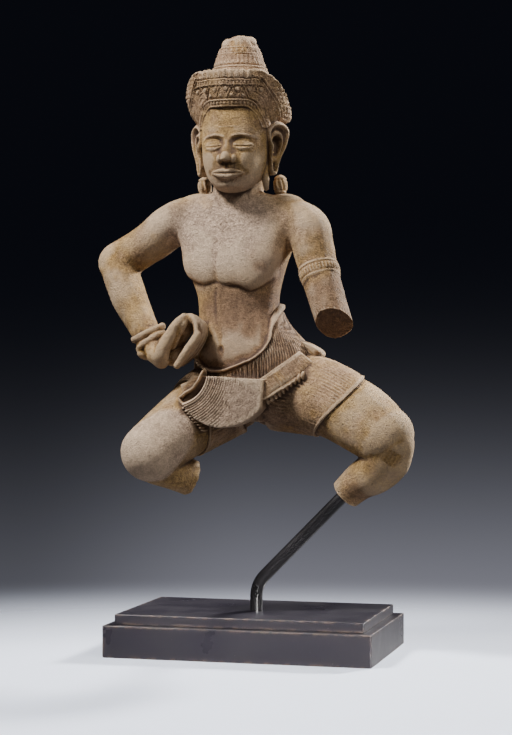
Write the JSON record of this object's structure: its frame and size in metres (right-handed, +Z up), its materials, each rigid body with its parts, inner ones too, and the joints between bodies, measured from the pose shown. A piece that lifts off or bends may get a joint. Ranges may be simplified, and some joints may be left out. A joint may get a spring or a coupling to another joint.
{
  "type": "dancing deity statue",
  "caption": "Carved sandstone dancing deity in a flared headdress and pleated hip cloth, with broken limbs, held on a bent steel rod above a low stepped plinth.",
  "frame": {"origin": "middle of the plinth's underside", "axes": "+Z up; the figure looks along -Y, and its own left side is at +X"},
  "size_m": [0.5184, 0.2778, 0.945],
  "materials": {
    "sandstone": "matt, fine-grained and weathered",
    "rod_steel": "satin black paint",
    "black_lacquer": "satin dark brown-black lacquer with worn edges"
  },
  "bodies": {
    "root": {"stone_figure": "sandstone", "support_rod": "rod_steel", "plinth_step": "black_lacquer", "plinth_base": "black_lacquer"}
  },
  "joints": []
}
